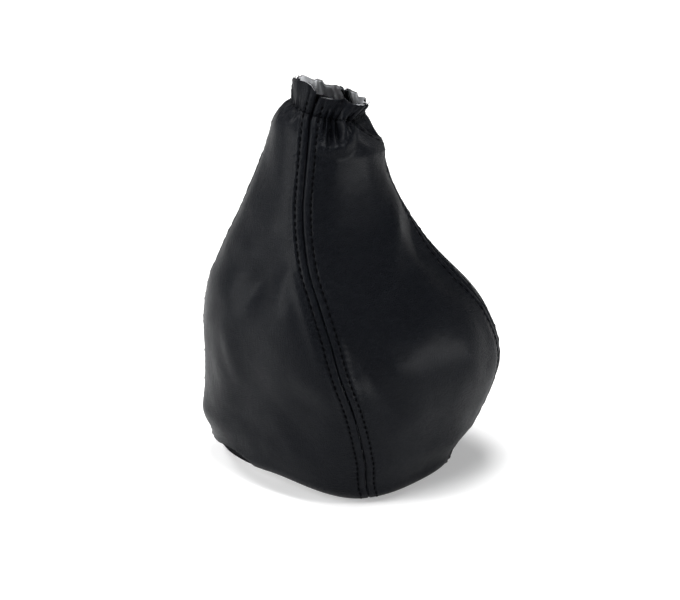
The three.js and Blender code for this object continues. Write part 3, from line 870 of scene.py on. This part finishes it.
def elastic_band(material):
    """The woven elastic under the pleats: a flat band with ribs along it, a little wavy on its edges."""
    columns, ribs = 480, 25
    near = 2 * TURN_RADIUS + THREAD_CLEARANCE + BOBBIN_THREAD + ELASTIC_CLEARANCE
    width = np.linspace(-1, 1, ribs)
    rib = 0.07 * (1 - np.cos(np.pi * np.arange(ribs))) / 2
    thin = 0.25 * np.abs(width) ** 8
    loop = [(w, near + thin[i] + rib[i]) for i, w in enumerate(width)]
    loop += [(w, near + ELASTIC_THICKNESS - thin[i] - rib[i]) for i, w in reversed(list(enumerate(width)))]
    points = np.zeros((columns, len(loop), 3))
    for i in range(columns):
        place = i / columns * len(PANELS)
        panel = int(place)
        runs = np.array([NECK_RUN + side * ELASTIC_WIDTH / 2 for side, _ in loop])
        share = np.full(len(loop), place - panel)
        _, outward = directions(panel, share, runs)
        depth = np.array([deep for _, deep in loop]) + 0.05 * math.sin(i * 0.9)
        points[i] = smooth_form(panel, share, runs) - outward * depth[:, None]
    sides = len(loop)
    row = np.arange(columns)[:, None] * sides
    next_row = (np.arange(columns)[:, None] + 1) % columns * sides
    k = np.arange(sides)[None, :]
    following = (k + 1) % sides
    quads = np.stack([row + k, next_row + k, next_row + following, row + following], -1).reshape(-1, 4)
    around = np.repeat((np.arange(columns) * 0.3)[:, None], sides, 1)
    places = np.stack([around, np.repeat((np.arange(sides) * 0.25)[None, :], columns, 0)], -1)
    piece = add_mesh("neck_elastic_band", points, quads, [material], None, places)
    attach(piece, BODY)
    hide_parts("neck_elastic")


# Materials


def node_at(tree, kind, x, y, **values):
    made = tree.nodes.new(kind)
    made.location = (x, y)
    for key, value in values.items():
        setattr(made, key, value)
    return made


def new_group(name, inputs, outputs):
    tree = bpy.data.node_groups.new(name, "ShaderNodeTree")
    for label, kind, value in inputs:
        socket = tree.interface.new_socket(name=label, in_out="INPUT", socket_type=kind)
        if value is not None:
            socket.default_value = value
    for label, kind in outputs:
        tree.interface.new_socket(name=label, in_out="OUTPUT", socket_type=kind)
    return tree, node_at(tree, "NodeGroupInput", -1200, 0), node_at(tree, "NodeGroupOutput", 900, 0)


def math_node(tree, operation, x, y, first, second=None, clamp=False):
    made = node_at(tree, "ShaderNodeMath", x, y, operation=operation, use_clamp=clamp)
    for socket, value in zip(made.inputs, (first, second)):
        if value is None:
            continue
        if isinstance(value, (int, float)):
            socket.default_value = value
        else:
            tree.links.new(value, socket)
    return made.outputs[0]


def set_inputs(node, **values):
    for key, value in values.items():
        node.inputs[key.replace("_", " ")].default_value = value


def put_out(tree, put, **sockets):
    for key, value in sockets.items():
        tree.links.new(value, put.inputs[key])


def noise(tree, x, y, place, scale, detail, **more):
    made = node_at(tree, "ShaderNodeTexNoise", x, y)
    set_inputs(made, Scale=scale, Detail=detail, **more)
    tree.links.new(place, made.inputs["Vector"])
    return made


def smooth_step(tree, x, y, value, low, high):
    made = node_at(tree, "ShaderNodeMapRange", x, y, interpolation_type="SMOOTHSTEP")
    set_inputs(made, From_Min=low, From_Max=high)
    tree.links.new(value, made.inputs["Value"])
    return made.outputs["Result"]


def scaled(tree, x, y, vector, factor):
    made = node_at(tree, "ShaderNodeVectorMath", x, y, operation="SCALE")
    made.inputs["Scale"].default_value = factor
    tree.links.new(vector, made.inputs[0])
    return made.outputs["Vector"]


def split_place(tree, x, y, place):
    made = node_at(tree, "ShaderNodeSeparateXYZ", x, y)
    tree.links.new(place, made.inputs[0])
    return made.outputs


def shaken(tree, y, place, noisy, amount):
    """A place pushed about a little by a noise."""
    made = node_at(tree, "ShaderNodeVectorMath", -640, y, operation="ADD")
    tree.links.new(place, made.inputs[0])
    tree.links.new(scaled(tree, -820, y, noisy.outputs["Color"], amount), made.inputs[1])
    return made.outputs["Vector"]


def leather_grain():
    """Rounded pebbles with fine pores and long soft creases."""
    tree, given, put = new_group(
        "leather grain",
        [
            ("Place", "NodeSocketVector", None),
            ("Pebbles per metre", "NodeSocketFloat", 950.0),
            ("Crease depth", "NodeSocketFloat", 0.35),
        ],
        [("Height", "NodeSocketFloat"), ("Valleys", "NodeSocketFloat"), ("Rubbed", "NodeSocketFloat")],
    )
    place = given.outputs["Place"]
    bend = noise(tree, -1000, 200, place, 420.0, 2.0)
    pebbles = node_at(tree, "ShaderNodeTexVoronoi", -440, 160, feature="DISTANCE_TO_EDGE")
    tree.links.new(shaken(tree, 160, place, bend, 0.0011), pebbles.inputs["Vector"])
    tree.links.new(given.outputs["Pebbles per metre"], pebbles.inputs["Scale"])
    rounded = smooth_step(tree, -240, 160, pebbles.outputs["Distance"], 0.0, 0.32)
    pores = noise(tree, -440, -120, place, 3600.0, 3.0)
    creases = noise(tree, -440, -380, place, 210.0, 4.0, Roughness=0.62, Distortion=0.6)
    fine = math_node(tree, "MULTIPLY", -240, -120, pores.outputs["Fac"], 0.22)
    long = math_node(tree, "MULTIPLY", -240, -380, creases.outputs["Fac"], given.outputs["Crease depth"])
    height = math_node(tree, "ADD", 140, 0, math_node(tree, "ADD", -40, 60, rounded, fine), long)
    valleys = math_node(tree, "SUBTRACT", 140, 220, 1.0, rounded, clamp=True)
    put_out(tree, put, Height=height, Valleys=valleys, Rubbed=creases.outputs["Fac"])
    return tree


def fine_dust():
    """A faint uneven film that dulls the finish in soft patches."""
    tree, given, put = new_group(
        "fine dust",
        [("Place", "NodeSocketVector", None), ("Amount", "NodeSocketFloat", 0.3)],
        [("Film", "NodeSocketFloat")],
    )
    patches = noise(tree, -700, 120, given.outputs["Place"], 34.0, 5.0)
    soft = smooth_step(tree, -480, 120, patches.outputs["Fac"], 0.35, 0.7)
    put_out(tree, put, Film=math_node(tree, "MULTIPLY", -240, 120, soft, given.outputs["Amount"]))
    return tree


def knit_loops():
    """Columns of small knitted loops, as on a backing cloth."""
    tree, given, put = new_group(
        "knit loops",
        [("Place", "NodeSocketVector", None), ("Loops per metre", "NodeSocketFloat", 1250.0)],
        [("Height", "NodeSocketFloat"), ("Fluff", "NodeSocketFloat")],
    )
    place, per = given.outputs["Place"], given.outputs["Loops per metre"]
    fuzz = noise(tree, -1000, -200, place, 2400.0, 3.0)
    split = split_place(tree, -460, 0, shaken(tree, 0, place, fuzz, 0.00035))
    turns = []
    for axis, y in (("X", 160), ("Y", -160)):
        loops = math_node(tree, "MULTIPLY", -380, y, split[axis], per)
        turns.append(math_node(tree, "MULTIPLY", -280, y, loops, math.tau))
    across, upward = turns
    column = math_node(tree, "SINE", -100, 120, across)
    vee = math_node(tree, "ADD", -100, -120, upward, math_node(tree, "MULTIPLY", -180, 0, column, 1.6))
    loop = math_node(tree, "SINE", 60, -120, vee)
    wide = math_node(tree, "MULTIPLY", 60, 120, math_node(tree, "ABSOLUTE", -20, 160, column), 0.5)
    height = math_node(tree, "ADD", 240, 0, wide, math_node(tree, "MULTIPLY", 160, -120, loop, 0.35))
    put_out(tree, put, Height=height, Fluff=fuzz.outputs["Fac"])
    return tree


def twisted_ply():
    """The slanting plies of a sewing thread, three round it."""
    tree, given, put = new_group(
        "twisted ply",
        [("Place", "NodeSocketVector", None), ("Turns", "NodeSocketFloat", 0.9)],
        [("Height", "NodeSocketFloat"), ("Fibres", "NodeSocketFloat")],
    )
    place = given.outputs["Place"]
    split = split_place(tree, -900, 0, place)
    turn = math_node(tree, "MULTIPLY", -700, 120, split["X"], 3 * MM_PER_UV)
    pitch = math_node(tree, "MULTIPLY", -700, -80, split["Y"], given.outputs["Turns"])
    pitch = math_node(tree, "MULTIPLY", -560, -80, pitch, MM_PER_UV)
    slant = math_node(tree, "MULTIPLY", -380, 0, math_node(tree, "ADD", -480, 0, turn, pitch), math.tau)
    half = math_node(tree, "MULTIPLY", -340, 60, slant, 0.5)
    ply = math_node(tree, "ABSOLUTE", -200, 0, math_node(tree, "SINE", -280, 0, half))
    fibres = noise(tree, -500, -320, place, 900.0, 3.0)
    put_out(tree, put, Height=ply, Fibres=fibres.outputs["Fac"])
    return tree


GRAIN, DUST, KNIT, PLY = leather_grain(), fine_dust(), knit_loops(), twisted_ply()


def new_material(name):
    made = bpy.data.materials.new(name)
    made.use_nodes = True
    tree = made.node_tree
    tree.nodes.clear()
    out = node_at(tree, "ShaderNodeOutputMaterial", 900, 0)
    shader = node_at(tree, "ShaderNodeBsdfPrincipled", 600, 0)
    tree.links.new(shader.outputs[0], out.inputs["Surface"])
    return made, tree, shader


def object_place(tree, x, y):
    return node_at(tree, "ShaderNodeTexCoord", x, y).outputs["Object"]


def sheet_place(tree):
    return node_at(tree, "ShaderNodeUVMap", -1100, 0, uv_map="sheet").outputs["UV"]


def placed(tree, group, x, y, place, **values):
    made = node_at(tree, "ShaderNodeGroup", x, y, node_tree=group)
    set_inputs(made, **values)
    tree.links.new(place, made.inputs["Place"])
    return made


def blended(tree, share, low, high):
    made = node_at(tree, "ShaderNodeMix", -100, 200, data_type="RGBA")
    made.inputs[6].default_value = (*low, 1)
    made.inputs[7].default_value = (*high, 1)
    tree.links.new(share, made.inputs[0])
    return made.outputs[2]


def ranged(tree, x, y, value, low, high):
    made = node_at(tree, "ShaderNodeMapRange", x, y)
    set_inputs(made, To_Min=low, To_Max=high)
    tree.links.new(value, made.inputs["Value"])
    return made.outputs["Result"]


def finished(tree, shader, base, height, strength, distance, **values):
    """Joins the colour and the relief to a shader, and sets its other inputs."""
    tree.links.new(base, shader.inputs["Base Color"])
    bump = node_at(tree, "ShaderNodeBump", 300, -300)
    set_inputs(bump, Strength=strength, Distance=distance)
    tree.links.new(height, bump.inputs["Height"])
    tree.links.new(bump.outputs["Normal"], shader.inputs["Normal"])
    set_inputs(shader, **values)


def black_grained_leather():
    made, tree, shader = new_material("black grained leather")
    place = object_place(tree, -900, 0)
    grain = placed(tree, GRAIN, -600, 100, place, Pebbles_per_metre=820.0, Crease_depth=0.5)
    dust = placed(tree, DUST, -600, -200, place, Amount=0.3)
    base = blended(tree, grain.outputs["Rubbed"], (0.0010, 0.0012, 0.0020), (0.0026, 0.0029, 0.0041))
    worn = ranged(tree, -200, -60, grain.outputs["Valleys"], 0.35, 0.48)
    film = math_node(tree, "MULTIPLY", -200, -220, dust.outputs["Film"], 0.3)
    tree.links.new(math_node(tree, "ADD", 0, -60, worn, film), shader.inputs["Roughness"])
    finished(
        tree, shader, base, grain.outputs["Height"], 0.95, 0.0003,
        Specular_IOR_Level=0.058, Specular_Tint=(0.78, 0.87, 1.0, 1.0),
        Coat_Weight=0.2, Coat_Roughness=0.3, Coat_IOR=1.2,
    )
    return made


def grey_knitted_backing():
    made, tree, shader = new_material("grey knitted backing")
    place = scaled(tree, -900, 0, sheet_place(tree), METRES_PER_UV)
    knit = placed(tree, KNIT, -600, 0, place, Loops_per_metre=1100.0)
    tone = ranged(tree, -350, 160, knit.outputs["Height"], 0.0, 1.0)
    base = blended(tree, tone, (0.68, 0.69, 0.72), (0.96, 0.97, 0.98))
    finished(
        tree, shader, base, knit.outputs["Height"], 0.8, 0.0003,
        Roughness=0.95, Specular_IOR_Level=0.15, Sheen_Weight=0.25, Sheen_Roughness=0.6,
    )
    return made


def cut_leather_edge():
    """Black at the face and grey towards the backing, with a ragged line between."""
    made, tree, shader = new_material("cut leather edge")
    split = split_place(tree, -900, 0, sheet_place(tree))
    fibres = noise(tree, -900, -240, object_place(tree, -1100, -240), 1800.0, 3.0)
    through = math_node(tree, "MULTIPLY", -700, 0, split["Y"], MM_PER_UV)
    uneven = math_node(tree, "MULTIPLY", -600, -200, fibres.outputs["Fac"], 0.7)
    share = smooth_step(tree, -300, 0, math_node(tree, "ADD", -500, 0, through, uneven), 1.15, 1.5)
    base = blended(tree, share, (0.005, 0.0053, 0.0065), (0.3, 0.31, 0.34))
    finished(
        tree, shader, base, fibres.outputs["Fac"], 0.7, 0.0002,
        Roughness=0.85, Specular_IOR_Level=0.05,
    )
    return made


def hem_strip_painted_as_shade():
    """A dull, almost unreflecting dark leather under the lifted edge of the foot, which is painted shade for
    the crescent there.
    """
    made, tree, shader = new_material("hem strip painted as shade")
    place = object_place(tree, -900, 0)
    grain = placed(tree, GRAIN, -600, 100, place, Pebbles_per_metre=1400.0, Crease_depth=0.2)
    base = blended(tree, grain.outputs["Rubbed"], (0.0015, 0.0015, 0.0018), (0.012, 0.012, 0.014))
    finished(
        tree, shader, base, grain.outputs["Height"], 0.9, 0.0004,
        Roughness=0.9, Specular_IOR_Level=0.02,
    )
    return made


def black_polyester_thread():
    made, tree, shader = new_material("black polyester thread")
    ply = placed(tree, PLY, -600, 0, sheet_place(tree), Turns=1.1)
    base = blended(tree, ply.outputs["Height"], (0.0005, 0.0005, 0.0007), (0.0016, 0.0016, 0.002))
    tree.links.new(ranged(tree, -100, -60, ply.outputs["Fibres"], 0.6, 0.85), shader.inputs["Roughness"])
    finished(tree, shader, base, ply.outputs["Height"], 0.7, 0.00012, Specular_IOR_Level=0.015)
    return made


def black_woven_elastic():
    made, tree, shader = new_material("black woven elastic")
    place = scaled(tree, -800, 0, sheet_place(tree), METRES_PER_UV)
    knit = placed(tree, KNIT, -600, 0, place, Loops_per_metre=1600.0)
    base = blended(tree, knit.outputs["Fluff"], (0.004, 0.004, 0.005), (0.014, 0.014, 0.016))
    finished(
        tree, shader, base, knit.outputs["Height"], 0.6, 0.0002,
        Roughness=0.85, Specular_IOR_Level=0.2,
    )
    return made


# Camera, light and floor


def look_from(azimuth, elevation):
    az, el = math.radians(azimuth), math.radians(elevation)
    return np.array([math.sin(az) * math.cos(el), -math.cos(az) * math.cos(el), math.sin(el)])


def aim(thing, place, target):
    way = Vector(target) - Vector(place)
    thing.location = place
    thing.rotation_euler = way.to_track_quat("-Z", "Y").to_euler()


def add_camera():
    lens = bpy.data.cameras.new("camera")
    lens.lens = VIEW_LENS
    lens.sensor_width = 36.0
    lens.clip_end = 20.0
    camera = bpy.data.objects.new("camera", lens)
    bpy.context.scene.collection.objects.link(camera)
    place = np.array(VIEW_TARGET) + VIEW_DISTANCE * look_from(VIEW_AZIMUTH, VIEW_ELEVATION)
    aim(camera, tuple(place), VIEW_TARGET)
    bpy.context.scene.camera = camera


def add_lamp(name, azimuth, elevation, distance, width, height, watts):
    data = bpy.data.lights.new(name, "AREA")
    data.shape = "RECTANGLE"
    data.size, data.size_y = width, height
    data.energy = watts
    lamp = bpy.data.objects.new(name, data)
    bpy.context.scene.collection.objects.link(lamp)
    place = np.array(LAMP_TARGET) + distance * look_from(azimuth, elevation)
    aim(lamp, tuple(place), LAMP_TARGET)


def seen_rays(tree, x, y):
    """1 for what the camera, a glossy surface or a clear one sees."""
    path = node_at(tree, "ShaderNodeLightPath", x, y)
    camera, glossy = path.outputs["Is Camera Ray"], path.outputs["Is Glossy Ray"]
    either = math_node(tree, "MAXIMUM", x + 200, y, camera, glossy)
    return math_node(tree, "MAXIMUM", x + 400, y, either, path.outputs["Is Transmission Ray"])


def add_world():
    world = bpy.data.worlds.new("studio")
    bpy.context.scene.world = world
    world.use_nodes = True
    room = world.node_tree.nodes["Background"]
    set_inputs(room, Color=ROOM_COLOUR, Strength=ROOM_STRENGTH)


def add_floor():
    made, tree, shader = new_material("pale floor")
    set_inputs(shader, Base_Color=FLOOR_COLOUR, Roughness=1.0, Specular_IOR_Level=0.0)
    set_inputs(shader, Emission_Color=(1, 1, 1, 1))
    glow = math_node(tree, "MULTIPLY", 300, -200, seen_rays(tree, -400, -200), FLOOR_GLOW)
    tree.links.new(glow, shader.inputs["Emission Strength"])
    size = FLOOR_HALF_WIDTH
    corners = [(-size, -size, 0), (size, -size, 0), (size, size, 0), (-size, size, 0)]
    floor = add_mesh("floor", corners, [(0, 1, 2, 3)], [made])


# The whole gaiter


def main():
    bpy.context.scene.view_settings.view_transform = "Standard"
    add_camera()
    add_world()
    add_floor()
    for name, sizes in LAMPS.items():
        add_lamp(name, *sizes)

    leather = [black_grained_leather(), grey_knitted_backing(), cut_leather_edge(), hem_strip_painted_as_shade()]
    thread = black_polyester_thread()
    for panel in range(len(PANELS)):
        panel_sheet(panel, leather)
    for index in range(len(SEAMS)):
        sew_seam(index, thread)
    gather_neck(thread)
    elastic_band(black_woven_elastic())


main()
